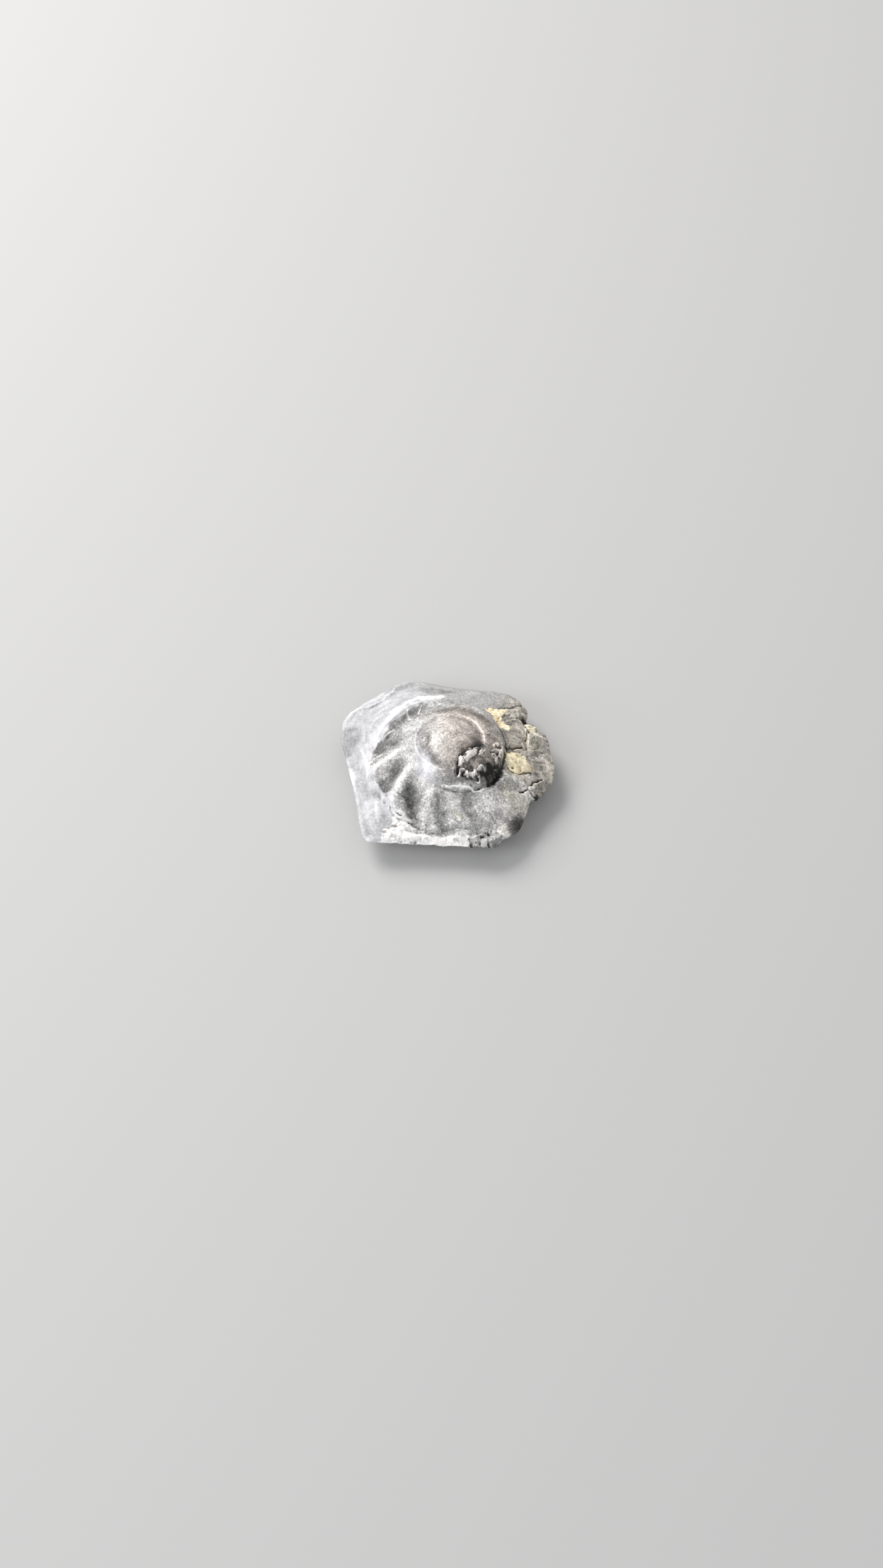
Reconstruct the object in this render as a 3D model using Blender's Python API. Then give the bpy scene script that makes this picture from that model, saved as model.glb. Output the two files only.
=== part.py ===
# A small broken piece of grey stone with the raised cast of a coiled shell on its top.
# +X is to the right, +Y to the back and +Z up. The origin is the middle of the flat underside.
# Sizes are in millimetres, and places in plan are measured from the axis of the coil.
# A turn is an angle in degrees, counter-clockwise from the right as seen from above.
import bpy
import numpy as np

MILLIMETRE = 0.001
PIECE_NAME = "fossil_in_stone"
STONE_COLOUR = (0.33, 0.32, 0.31, 1.0)
STONE_ROUGHNESS = 0.78

# The coil's axis, measured from the middle of the stone's box
AXIS_X = 0.45
AXIS_Y = -0.85

# Corners of the broken outline
OUTLINE = (
    (17.9, 0.0), (17.3, 2.1), (17.1, 4.6), (16.4, 6.6), (15.1, 7.2), (14.7, 8.3),
    (13.0, 9.3), (13.5, 10.1), (13.4, 11.9), (11.9, 14.1), (10.5, 15.2), (8.4, 15.8),
    (4.6, 16.2), (1.6, 16.5), (-0.7, 16.9), (-4.0, 17.8), (-5.8, 18.2), (-7.8, 17.9),
    (-9.5, 17.3), (-11.7, 15.6), (-13.4, 14.4), (-14.9, 13.4), (-17.0, 11.4), (-18.5, 9.4),
    (-18.8, 5.7), (-17.8, 1.4), (-16.8, -2.8), (-15.9, -7.0), (-15.2, -11.8), (-14.7, -14.2),
    (-13.7, -15.5), (-8.9, -15.6), (-2.7, -15.9), (2.9, -16.2), (6.3, -16.5), (7.8, -16.2),
    (9.7, -14.5), (11.4, -13.2), (12.9, -9.8), (13.5, -7.7), (15.8, -5.6), (17.6, -2.8),
)
CORNER_ROUNDING = 1.0
# Height of the rim by turn
RIM_HEIGHT = (
    (0, 4.7), (45, 4.7), (90, 4.7), (135, 4.6), (180, 4.5), (225, 4.4), (270, 4.4), (315, 4.5), (360, 4.7),
)
# How far in from the rim the top starts to round over, by turn
RIM_ROLL = (
    (0, 2.4), (45, 1.8), (90, 1.4), (135, 1.0), (180, 0.7), (225, 0.8), (270, 1.6), (315, 1.6), (360, 2.4),
)
RIM_DROP = 0.5
# Height of the upright broken edge below the rim, by turn: the front one is undercut
BELT = ((0, 1.0), (45, 1.3), (90, 1.5), (135, 1.2), (180, 0.9), (225, 0.4), (270, 0.2), (315, 0.4), (360, 1.0))
# The flat base: its share of the outline's radius, and how far its edge wanders
BASE_SHARE = 0.64
BASE_WANDER = 0.8
MEAN_RADIUS = 16.5

# The dome and the ring around its foot
APEX_HEIGHT = 14.1
DOME_RADIUS = 4.6
DOME_FOOT_HEIGHT = 12.1
RING_RADIUS = 5.8
RING_HEIGHT = 11.4
# The seam of the coil: turn, radius, height of the whorl's lip above it, height of the stone below it
SEAM = (
    (0, 5.8, 11.4, 11.4), (90, 5.8, 11.4, 11.4), (180, 5.9, 11.3, 11.2), (225, 6.6, 10.3, 10.0),
    (270, 8.0, 9.4, 8.7), (315, 8.8, 9.4, 8.3), (360, 8.9, 9.7, 7.7), (405, 9.5, 9.3, 7.8),
    (450, 11.2, 8.2, 7.8), (495, 12.2, 7.2, 7.5), (540, 12.9, 6.8, 6.3), (585, 13.4, 6.0, 5.3),
    (630, 14.1, 5.4, 4.7), (675, 15.0, 5.1, 4.8), (720, 15.5, 5.3, 5.3),
)
SEAM_WIDTH = 0.35
# How far the whorl bulges above a straight slope, by turn
BULGE = (
    (0, 0.0), (180, 0.0), (270, 0.15), (360, 0.35), (430, 0.2), (465, -0.5), (500, -0.9), (530, -0.6),
    (570, -0.1), (630, 0.3), (720, 0.0),
)

# Folds across the last whorl: turn at its inner seam, turn at its outer seam, height, half width
FOLDS = (
    (146, 152, 0.3, 1.2), (164, 171, -0.5, 1.4), (182, 191, 0.7, 0.9), (195, 209, -0.9, 1.5),
    (206, 222, 0.55, 1.2), (216, 242, -1.0, 1.4), (240, 258, 0.35, 1.3), (256, 262, -0.4, 0.9),
    (270, 276, 0.25, 1.4), (284, 292, -0.3, 1.3), (300, 306, 0.2, 1.4),
)

# Plates that stand above or lie below the stone around them: corners, rise, width of the edge
PLATES = {
    "light chunk": (((-11.2, -7.0), (-9.2, -7.8), (-7.6, -8.6), (-6.6, -10.2), (-6.0, -12.2), (-8.0, -12.2),
                     (-9.4, -10.6), (-10.4, -8.8)), 0.8, 1.2),
    "block behind": (((9.4, 10.4), (12.6, 10.8), (13.8, 9.8), (12.4, 7.6), (9.8, 7.0)), 0.6, 0.9),
    "block right": (((10.0, 6.2), (12.4, 6.4), (12.9, 2.4), (9.8, 2.2)), 0.6, 0.9),
    "rounded block": (((13.8, 5.8), (16.3, 5.4), (17.2, 1.4), (13.8, 1.0)), 0.6, 0.9),
    "small block": (((12.4, -5.6), (14.6, -4.9), (14.2, -7.2), (12.6, -8.2)), 0.5, 0.9),
    "broken hollow": (((1.0, -4.4), (2.0, -2.9), (3.6, -1.7), (5.3, -0.7), (8.0, -0.6), (8.6, -3.0),
                       (8.0, -5.6), (6.5, -6.8), (3.6, -7.2), (1.0, -6.8)), -0.6, 1.0),
}

# Lumps and pits: place, half length, half breadth, turn of the length, height
LUMPS = {
    "dome brow": ((-0.9, 0.9), 3.2, 2.6, 30, 0.35),
    "yellow lump": ((11.3, -1.4), 3.1, 1.9, -25, 1.2),
    "yellow wedge": ((8.7, 8.2), 2.2, 1.3, -60, 0.6),
    "yellow knob": ((13.9, 7.0), 1.4, 1.1, 30, 0.6),
    "right ridge": ((11.4, -5.0), 4.6, 1.6, 20, 0.9),
    "long crumb": ((3.5, -3.1), 2.0, 0.8, 49, 0.9),
    "oval crumb": ((1.9, -4.2), 1.1, 0.8, 65, 0.8),
    "ring crumb": ((2.2, -6.1), 1.2, 1.0, 80, 0.7),
    "outer crumbs": ((4.5, -5.4), 1.8, 0.8, 33, 0.6),
    "broken whorl": ((5.2, -4.0), 2.0, 1.2, 15, 0.5),
    "cleft": ((3.2, -2.2), 2.4, 0.8, 36, -1.0),
    "black hollow": ((6.8, -5.4), 2.2, 1.6, 65, -1.2),
    "notch hole": ((12.7, 8.7), 1.2, 1.0, -50, -1.0),
    "dark hollow": ((12.0, -11.7), 1.8, 1.4, 60, -0.8),
    "front right pits": ((6.4, -14.6), 1.8, 1.1, 0, -0.4),
}

# Ridges and cracks along a line: points, half width, height
LINES = {
    "crescent ledge": (((-9.4, 9.6), (-7.3, 11.0), (-5.7, 12.0), (-3.4, 12.6), (-1.3, 12.2)), 0.8, 0.4),
    "crack behind": (((9.2, 11.2), (10.9, 11.4), (12.8, 12.8)), 0.8, -0.7),
    "crack right": (((9.4, 1.6), (11.0, 1.9), (13.2, 1.6)), 0.8, -0.6),
    "crack lower right": (((11.2, -6.6), (13.2, -5.7), (15.4, -4.3)), 0.8, -0.6),
    "seam ledge": (((-1.4, -7.8), (0.8, -8.3), (3.7, -8.1), (5.6, -7.5)), 0.8, 0.3),
    "front furrow": (((-10.0, -13.0), (-6.6, -13.9), (-2.0, -14.3), (3.0, -14.2), (6.6, -13.9)), 0.8, -0.4),
    "left tooth": (((-7.3, 8.9), (-6.8, 7.1)), 0.7, 0.3),
    "right tooth": (((-5.0, 10.0), (-5.3, 8.4)), 0.7, 0.3),
    "flank scarp": (((-17.6, 10.6), (-13.0, 13.0), (-10.0, 15.4)), 0.9, 0.25),
}
# How far the broken edges wander from their straight lines, and the length of their waves
WANDER = 0.5
WANDER_SIZE = 2.6

# Unevenness of the broken stone: size of the waves, height
GRAIN = ((5.0, 0.18), (2.0, 0.14))
UNDERSIDE_GRAIN = ((4.0, 0.45), (1.8, 0.2))

# The mesh: ring k on the top has 6k points
TOP_RINGS = 34
TOP_SHARE = 0.985
# Rings under the rim: points, how far in from the rim to the base's edge, how far down the belt
UNDERSIDE_RINGS = ((204, 0.0, 0.25), (180, 0.03, 1.0), (156, 0.35, 1.0), (132, 0.7, 1.0), (108, 1.0, 1.0))
BASE_RINGS = ((60, 0.6), (24, 0.25))


def smooth(t):
    t = np.clip(t, 0.0, 1.0)
    return t * t * (3.0 - 2.0 * t)


def curve(table, column, at):
    """A smooth curve through one column of a table, whose first column is the place."""
    rows = np.array(table, float)
    places, values = rows[:, 0], rows[:, column]
    slopes = np.gradient(values, places)
    i = np.clip(np.searchsorted(places, at) - 1, 0, len(places) - 2)
    width = places[i + 1] - places[i]
    t = np.clip((at - places[i]) / width, 0.0, 1.0)
    start = (1.0 + 2.0 * t) * (1.0 - t) ** 2 * values[i] + t * (1.0 - t) ** 2 * width * slopes[i]
    end = t * t * (3.0 - 2.0 * t) * values[i + 1] + t * t * (t - 1.0) * width * slopes[i + 1]
    return start + end


def outline_radius(turn):
    """Distance from the axis to the outline along each turn, with the corners eased."""
    corners = np.array(OUTLINE)
    turns = np.degrees(np.arctan2(corners[:, 1], corners[:, 0])) % 360.0
    order = np.argsort(turns)
    corners = np.vstack([corners[order], corners[order[0]]])
    turns = np.append(turns[order], turns[order[0]] + 360.0)
    total = 0.0
    shifts = np.array((-1.0, -0.5, 0.0, 0.5, 1.0)) * CORNER_ROUNDING
    for shift in shifts:
        aim = (turn + shift - turns[0]) % 360.0 + turns[0]
        i = np.clip(np.searchsorted(turns, aim, side="right") - 1, 0, len(turns) - 2)
        a, b = corners[i], corners[i + 1]
        side = b - a
        way = np.stack([np.cos(np.radians(aim)), np.sin(np.radians(aim))], -1)
        total = total + (a[..., 0] * side[..., 1] - a[..., 1] * side[..., 0]) / (
            way[..., 0] * side[..., 1] - way[..., 1] * side[..., 0]
        )
    return total / len(shifts)


def noise(x, y, size, seed):
    """Smooth uneven waves between -1 and 1, from values fixed at the corners of a square lattice."""
    u, v = x / size + 17.3 * seed, y / size - 9.1 * seed
    i, j = np.floor(u), np.floor(v)
    s, t = smooth(u - i), smooth(v - j)

    def corner(a, b):
        value = np.sin(a * 127.1 + b * 311.7 + seed * 74.7) * 43758.5453
        return 2.0 * (value - np.floor(value)) - 1.0

    low = corner(i, j) * (1.0 - s) + corner(i + 1.0, j) * s
    high = corner(i, j + 1.0) * (1.0 - s) + corner(i + 1.0, j + 1.0) * s
    return low * (1.0 - t) + high * t


def line_distance(x, y, points, closed=False):
    """Distance in plan to the nearest of the straight stretches between the points."""
    ends = points[1:] + points[:1] if closed else points[1:]
    nearest = np.full(np.shape(x), np.inf)
    for (ax, ay), (bx, by) in zip(points, ends):
        length = (bx - ax) ** 2 + (by - ay) ** 2
        t = np.clip(((x - ax) * (bx - ax) + (y - ay) * (by - ay)) / length, 0.0, 1.0)
        nearest = np.minimum(nearest, np.hypot(x - ax - t * (bx - ax), y - ay - t * (by - ay)))
    return nearest


def plate(x, y, corners, edge):
    """1 inside the corners and 0 outside, with a soft edge of that width."""
    inside = np.zeros(np.shape(x), bool)
    for (ax, ay), (bx, by) in zip(corners, corners[1:] + corners[:1]):
        if ay != by:
            crossing = ax + (y - ay) / (by - ay) * (bx - ax)
            inside ^= ((ay > y) != (by > y)) & (x < crossing)
    distance = line_distance(x, y, corners, closed=True)
    return smooth(np.where(inside, distance, -distance) / edge + 0.5)


def lump(x, y, place, length, breadth, turn):
    """A rounded hump: 1 in its middle, falling to 0 at the ellipse of its half length and half breadth."""
    c, s = np.cos(np.radians(turn)), np.sin(np.radians(turn))
    along = ((x - place[0]) * c + (y - place[1]) * s) / length
    across = ((y - place[1]) * c - (x - place[0]) * s) / breadth
    return np.clip(1.0 - along**2 - across**2, 0.0, 1.0) ** 1.5


def folds(r, turn, inner, outer):
    """Ribs and furrows that run outward across the last whorl and lean forward on the way."""
    share = np.clip((r - inner) / (outer - inner), 0.0, 1.3)
    strength = smooth(share / 0.55) * (1.0 - smooth((share - 1.0) / 0.25))
    height = np.zeros(np.shape(r))
    for start, end, rise, half_width in FOLDS:
        crest = start + (end - start) * share
        across = np.radians(turn - crest) * r / half_width
        height += rise * np.exp(-across * across)
    return height * strength


def coil_height(r, turn):
    """Height along a ray from the axis: dome, ring, upper whorl, seam, last whorl, seam and the stone outside."""
    rim = outline_radius(turn)
    upper = np.maximum(curve(SEAM, 1, turn), RING_RADIUS)
    upper_lip, upper_foot = curve(SEAM, 2, turn), curve(SEAM, 3, turn)
    lower = curve(SEAM, 1, turn + 360.0)
    lower_lip, lower_foot = curve(SEAM, 2, turn + 360.0), curve(SEAM, 3, turn + 360.0)
    upper_step = SEAM_WIDTH * smooth((upper_lip - upper_foot) / 0.3)
    lower_step = SEAM_WIDTH * (1.0 + smooth((lower_lip - lower_foot) / 1.5))
    stops = (
        (0.0 * r, APEX_HEIGHT, 0.0), (DOME_RADIUS, DOME_FOOT_HEIGHT, 0.0), (RING_RADIUS, RING_HEIGHT, -0.12),
        (upper, upper_lip, curve(BULGE, 1, turn)), (upper + upper_step, upper_foot, 0.0),
        (lower, lower_lip, curve(BULGE, 1, turn + 360.0)), (lower + lower_step, lower_foot, 0.0),
        (rim, curve(RIM_HEIGHT, 1, turn), 0.0),
    )
    height = np.full(np.shape(r), APEX_HEIGHT)
    for i in range(len(stops) - 1):
        near, far = stops[i], stops[i + 1]
        t = np.clip((r - near[0]) / np.maximum(far[0] - near[0], 1e-6), 0.0, 1.0)
        rise = t * t if i == 0 else t
        height = height + (far[1] - near[1]) * rise + far[2] * 4.0 * t * (1.0 - t)
    return height + folds(r, turn, upper, lower)


def top_height(x, y):
    """Height of the stone's top, with every block, lump, ridge and crack on it."""
    r = np.hypot(x, y)
    turn = np.degrees(np.arctan2(y, x)) % 360.0
    height = coil_height(r, turn)
    wx = x + WANDER * noise(x, y, WANDER_SIZE, 11)
    wy = y + WANDER * noise(x, y, WANDER_SIZE, 21)
    for corners, rise, edge in PLATES.values():
        height = height + rise * plate(wx, wy, corners, edge)
    for place, length, breadth, tilt, rise in LUMPS.values():
        height = height + rise * lump(wx, wy, place, length, breadth, tilt)
    for points, half_width, rise in LINES.values():
        height = height + rise * (1.0 - smooth(line_distance(wx, wy, points) / half_width))
    outside = smooth((r - RING_RADIUS) / 3.0)
    for seed, (size, rise) in enumerate(GRAIN):
        height = height + rise * noise(x, y, size, seed + 1) * (0.3 + 0.7 * outside)
    near_rim = smooth(1.0 - (outline_radius(turn) - r) / curve(RIM_ROLL, 1, turn))
    return height - RIM_DROP * near_rim**2


def stitch(first, first_count, second, second_count):
    """Triangles between two rings of evenly spaced points, each edge joined to the nearest point across."""
    a_middle = (np.arange(first_count) + 0.5) / first_count
    b_middle = (np.arange(second_count) + 0.5) / second_count
    a, b = np.arange(first_count), np.arange(second_count)
    across_a = np.searchsorted(b_middle, a_middle, side="left") % second_count
    across_b = np.searchsorted(a_middle, b_middle, side="right") % first_count
    on_a = np.stack([first + a, second + across_a, first + (a + 1) % first_count], -1)
    on_b = np.stack([first + across_b, second + b, second + (b + 1) % second_count], -1)
    return np.vstack([on_a, on_b])


def ring(count, share, radius_at, height_at):
    turn = np.arange(count) * 360.0 / count
    r = radius_at(turn, share)
    x, y = r * np.cos(np.radians(turn)), r * np.sin(np.radians(turn))
    return np.stack([x, y, height_at(x, y, turn)], -1)


def top_radius(turn, share):
    """Rings are round near the axis and take the outline's shape towards the rim."""
    blend = smooth((share - 0.4) / 0.6)
    return share * (MEAN_RADIUS * (1.0 - blend) + outline_radius(turn) * blend)


def base_radius(turn, share):
    """The base's edge follows the outline loosely and wanders in and out."""
    x, y = MEAN_RADIUS * np.cos(np.radians(turn)), MEAN_RADIUS * np.sin(np.radians(turn))
    loose = BASE_SHARE * (MEAN_RADIUS + outline_radius(turn)) / 2.0
    return share * (loose + BASE_WANDER * noise(x, y, 7.0, 31))


def stone_mesh():
    """Points and triangles of the closed stone: top rings, the belt, the underside and the flat base."""
    rings = [ring(1, 0.0, top_radius, lambda x, y, turn: top_height(x, y))]
    for k in range(1, TOP_RINGS + 1):
        share = TOP_SHARE * k / TOP_RINGS
        rings.append(ring(6 * k, share, top_radius, lambda x, y, turn: top_height(x, y)))

    for count, inward, down in UNDERSIDE_RINGS:

        def under_radius(turn, inward):
            return outline_radius(turn) * (1.0 - inward) + base_radius(turn, 1.0) * inward

        def under_height(x, y, turn):
            rim = outline_radius(turn)
            rim_height = top_height(rim * np.cos(np.radians(turn)), rim * np.sin(np.radians(turn)))
            height = (rim_height - down * curve(BELT, 1, turn)) * (1.0 - inward) ** 1.2
            for seed, (size, rise) in enumerate(UNDERSIDE_GRAIN):
                height = height + rise * np.sin(np.pi * inward) * noise(x, y, size, seed + 41)
            return height

        rings.append(ring(count, inward, under_radius, under_height))
    for count, share in BASE_RINGS:
        rings.append(ring(count, share, base_radius, lambda x, y, turn: 0.0 * x))
    rings.append(np.zeros((1, 3)))

    starts = np.cumsum([0] + [len(points) for points in rings])
    triangles = np.vstack([
        stitch(starts[i], len(rings[i]), starts[i + 1], len(rings[i + 1])) for i in range(len(rings) - 1)
    ])
    a, b, c = triangles.T
    triangles = triangles[(a != b) & (b != c) & (a != c)]
    points = np.vstack(rings) + (AXIS_X, AXIS_Y, 0.0)
    return points * MILLIMETRE, triangles


def main():
    for old in list(bpy.data.objects):
        bpy.data.objects.remove(old)
    points, triangles = stone_mesh()
    mesh = bpy.data.meshes.new(PIECE_NAME)
    mesh.from_pydata(points.tolist(), [], triangles.tolist())
    mesh.shade_smooth()
    material = bpy.data.materials.new("grey_stone")
    material.use_nodes = True
    shader = material.node_tree.nodes["Principled BSDF"]
    shader.inputs["Base Color"].default_value = STONE_COLOUR
    shader.inputs["Roughness"].default_value = STONE_ROUGHNESS
    shader.inputs["Metallic"].default_value = 0.0
    mesh.materials.append(material)
    stone = bpy.data.objects.new(PIECE_NAME, mesh)
    bpy.context.scene.collection.objects.link(stone)


main()
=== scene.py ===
"""Looks of a small fossil: a broken piece of grey stone with the raised cast of a coiled shell on top.

The stone is one surface. It is worked out in millimetres from the axis of the coil, and put into the frame in
metres. A turn is an angle in degrees, counter-clockwise from the right as seen from above.
"""

import math

import bpy
import numpy as np
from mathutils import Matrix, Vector


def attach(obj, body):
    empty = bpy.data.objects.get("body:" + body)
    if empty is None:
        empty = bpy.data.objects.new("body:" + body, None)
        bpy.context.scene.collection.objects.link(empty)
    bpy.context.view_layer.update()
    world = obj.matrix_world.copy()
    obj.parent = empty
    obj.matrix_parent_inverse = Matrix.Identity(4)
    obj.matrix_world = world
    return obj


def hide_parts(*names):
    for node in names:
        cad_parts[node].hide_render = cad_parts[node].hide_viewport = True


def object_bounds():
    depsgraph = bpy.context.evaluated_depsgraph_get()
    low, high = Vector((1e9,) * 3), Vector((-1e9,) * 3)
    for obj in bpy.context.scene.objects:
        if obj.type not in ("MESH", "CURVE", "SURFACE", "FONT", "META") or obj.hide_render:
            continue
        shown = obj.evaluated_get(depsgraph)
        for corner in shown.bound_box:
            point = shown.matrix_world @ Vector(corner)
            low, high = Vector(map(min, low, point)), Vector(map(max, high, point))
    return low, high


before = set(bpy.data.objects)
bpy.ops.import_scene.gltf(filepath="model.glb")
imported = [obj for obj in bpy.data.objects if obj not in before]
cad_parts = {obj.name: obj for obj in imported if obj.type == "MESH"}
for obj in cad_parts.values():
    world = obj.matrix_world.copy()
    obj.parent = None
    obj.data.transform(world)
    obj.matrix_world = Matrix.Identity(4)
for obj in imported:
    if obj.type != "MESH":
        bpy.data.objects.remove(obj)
CAD_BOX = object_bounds()

MILLIMETRE = 0.001
STONE_NODE = "fossil_in_stone"

# The coil's axis, measured from the middle of the stone's box
AXIS_X = 0.45
AXIS_Y = -0.85

# Corners of the broken outline
OUTLINE = (
    (17.9, 0.0), (17.3, 2.1), (17.1, 4.6), (16.4, 6.6), (15.1, 7.2), (14.7, 8.3),
    (13.0, 9.3), (13.5, 10.1), (13.4, 11.9), (11.9, 14.1), (10.5, 15.2), (8.4, 15.8),
    (4.6, 16.2), (1.6, 16.5), (-0.7, 16.9), (-4.0, 17.8), (-5.8, 18.2), (-7.8, 17.9),
    (-9.5, 17.3), (-11.7, 15.6), (-13.4, 14.4), (-14.9, 13.4), (-17.0, 11.4), (-18.5, 9.4),
    (-18.8, 5.7), (-17.8, 1.4), (-16.8, -2.8), (-15.9, -7.0), (-15.2, -11.8), (-14.7, -14.2),
    (-13.7, -15.5), (-8.9, -15.6), (-2.7, -15.9), (2.9, -16.2), (6.3, -16.5), (7.8, -16.2),
    (9.7, -14.5), (11.4, -13.2), (12.9, -9.8), (13.5, -7.7), (15.8, -5.6), (17.6, -2.8),
)
# The outline is eased over this many degrees to either side
CORNER_ROUNDING = 1.0
# By turn: height of the rim, how far in the top starts to round over, height of the upright edge below it
RIM_HEIGHT = (
    (0, 4.7), (45, 4.7), (90, 4.7), (135, 4.6), (180, 4.5), (225, 4.4), (270, 4.4), (315, 4.5), (360, 4.7),
)
RIM_ROLL = (
    (0, 2.4), (45, 1.8), (90, 1.4), (135, 1.0), (180, 0.7), (225, 0.8), (270, 1.6), (315, 1.6), (360, 2.4),
)
# How far the top drops as it rounds over
RIM_DROP = 0.5
BELT = (
    (0, 1.0), (45, 1.3), (90, 1.5), (135, 1.2), (180, 0.9), (225, 0.4), (270, 0.2), (315, 0.4), (360, 1.0),
)
# The flat base: its share of the outline, and how far its edge wanders in and out
BASE_SHARE = 0.64
BASE_WANDER = 0.8
# How steeply the underside falls from the belt to the base: the power of the way that is left
UNDERSIDE_BULGE = 1.2
MEAN_RADIUS = 16.5

# The dome and the ring around its foot
APEX_HEIGHT = 14.1
DOME_RADIUS = 4.6
DOME_FOOT_HEIGHT = 12.1
RING_RADIUS = 5.8
RING_HEIGHT = 11.4
# The seam of the coil: turn, radius, height of the whorl's lip above it, height of the stone below it
SEAM = (
    (0, 5.8, 11.4, 11.4), (90, 5.8, 11.4, 11.4), (180, 5.9, 11.3, 11.2), (225, 6.6, 10.3, 10.0),
    (270, 8.0, 9.4, 8.7), (315, 8.8, 9.4, 8.3), (360, 8.9, 9.7, 7.7), (405, 9.5, 9.3, 7.8),
    (450, 11.2, 8.2, 7.8), (495, 12.2, 7.2, 7.5), (540, 12.9, 6.8, 6.3), (585, 13.4, 6.0, 5.3),
    (630, 14.1, 5.4, 4.7), (675, 15.0, 5.1, 4.8), (720, 15.5, 5.3, 5.3),
)
# Breadth of the step at the seam
SEAM_WIDTH = 0.35
# How far the whorl bulges above a straight slope, by turn
BULGE = (
    (0, 0.0), (180, 0.0), (270, 0.15), (360, 0.35), (430, 0.2), (465, -0.5), (500, -0.9), (530, -0.6),
    (570, -0.1), (630, 0.3), (720, 0.0),
)
# Folds across the last whorl: turn at its inner seam, turn at its outer seam, height, half width
FOLDS = (
    (146, 152, 0.12, 1.2), (164, 171, -0.5, 1.4), (182, 191, 0.7, 0.9), (195, 209, -0.9, 1.5),
    (206, 222, 0.55, 1.2), (216, 242, -1.0, 1.4), (240, 258, 0.35, 1.3), (256, 266, -0.4, 0.9),
    (270, 276, 0.25, 1.4), (284, 292, -0.3, 1.3), (300, 306, 0.2, 1.4),
)

# Plates that stand above or lie below the stone around them: corners, rise, width of the edge
PLATES = {
    "light chunk": (((-11.2, -7.0), (-9.2, -7.8), (-7.6, -8.6), (-6.6, -10.2), (-6.0, -12.2), (-8.0, -12.2),
        (-9.4, -10.6), (-10.4, -8.8)), 0.6, 0.5),
    "block behind": (((9.4, 10.4), (12.6, 10.8), (13.8, 9.8), (12.4, 7.6), (9.8, 7.0)), 0.4, 0.6),
    "block right": (((10.0, 6.2), (12.4, 6.4), (12.9, 2.4), (9.8, 2.2)), 0.45, 0.7),
    "rounded block": (((13.8, 5.8), (16.3, 5.4), (17.2, 1.4), (13.8, 1.0)), 0.5, 0.9),
    "small block": (((12.4, -5.6), (14.6, -4.9), (14.2, -7.2), (12.6, -8.2)), 0.45, 0.5),
    "broken hollow": (((1.0, -4.4), (2.0, -2.9), (3.6, -1.7), (5.3, -0.7), (8.0, -0.6), (8.6, -3.0),
        (8.0, -5.6), (6.5, -6.8), (3.6, -7.2), (1.0, -6.8)), -0.35, 0.9),
}

# Lumps and pits: place, half length, half breadth, turn of the length, height
LUMPS = {
    "dome brow": ((-0.9, 0.9), 3.2, 2.6, 30, 0.35),
    "yellow lump": ((11.3, -1.4), 3.1, 1.9, -25, 1.1),
    "yellow wedge": ((8.7, 8.2), 2.2, 1.3, -60, 0.5),
    "yellow knob": ((13.9, 7.0), 1.4, 1.1, 30, 0.6),
    "right ridge": ((11.4, -5.0), 4.6, 1.6, 20, 0.9),
    "oval crumb": ((1.87, -4.17), 1.05, 0.48, 65, 0.8),
    "long crumb": ((3.4, -3.1), 1.6, 0.52, 49, 0.75),
    "thin crumb": ((5.26, -2.1), 0.85, 0.34, 34, 0.5),
    "high crumb": ((4.6, -1.6), 0.4, 0.35, 0, 0.4),
    "second high crumb": ((3.3, -2.2), 0.35, 0.3, 0, 0.35),
    "round crumb": ((3.48, -6.03), 0.5, 0.45, 0, 0.45),
    "wedge crumb": ((4.21, -5.66), 0.7, 0.42, 60, 0.45),
    "slanting crumb": ((5.31, -4.84), 0.95, 0.42, 30, 0.5),
    "far crumb": ((7.85, -1.2), 0.7, 0.4, -20, 0.4),
    "near crumb": ((7.77, -2.9), 0.6, 0.45, 80, 0.4),
    "low crumb": ((7.39, -4.47), 0.55, 0.3, 30, 0.3),
    "broken whorl": ((4.8, -4.1), 2.4, 1.3, 15, 0.3),
    "black hollow": ((6.7, -5.4), 2.3, 1.7, 65, -0.9),
    "ring crumb's hole": ((2.27, -6.06), 0.6, 0.42, 80, -0.7),
    "left pit": ((1.2, -5.93), 0.65, 0.4, 80, -0.6),
    "middle pit": ((4.57, -6.4), 0.5, 0.5, 0, -0.6),
    "edge pit": ((8.0, -0.3), 0.7, 0.3, -10, -0.4),
    "corner pit": ((7.0, -1.7), 0.5, 0.4, 0, -0.3),
    "notch hole": ((12.7, 8.7), 1.0, 0.7, -50, -1.1),
    "knob pit": ((13.7, 6.2), 0.35, 0.35, 0, -0.5),
    "pit by the clay": ((9.6, 1.2), 0.5, 0.35, 20, -0.4),
    "dark hollow": ((12.0, -11.7), 1.8, 1.3, 60, -0.6),
    "front right pits": ((6.4, -14.6), 1.6, 0.9, 0, -0.4),
    "sill of the gully": ((-6.9, -12.8), 1.8, 1.1, -35, 0.5),
}
# Which of them are white, and how white
WHITE_CRUMBS = (
    ("oval crumb", 1.0), ("long crumb", 0.95), ("thin crumb", 0.8), ("high crumb", 0.45),
    ("second high crumb", 0.3), ("round crumb", 0.75), ("wedge crumb", 0.65), ("slanting crumb", 0.65),
    ("far crumb", 0.5), ("near crumb", 0.5), ("low crumb", 0.25),
)
# Painted shade in the darkest part of the hollow: place, half length, half breadth, turn of the length
HOLLOW_PAINTED_SHADE = ((6.8, -4.8), 2.7, 1.9, 50)
# Where fine crumbs lie in the hollow: place, half length, half breadth, turn of the length
RUBBLE = (((7.9, -1.2), 2.1, 1.2, 80), ((3.2, -5.9), 2.6, 1.1, 8), ((3.9, -2.4), 2.4, 0.8, 38))

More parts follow.
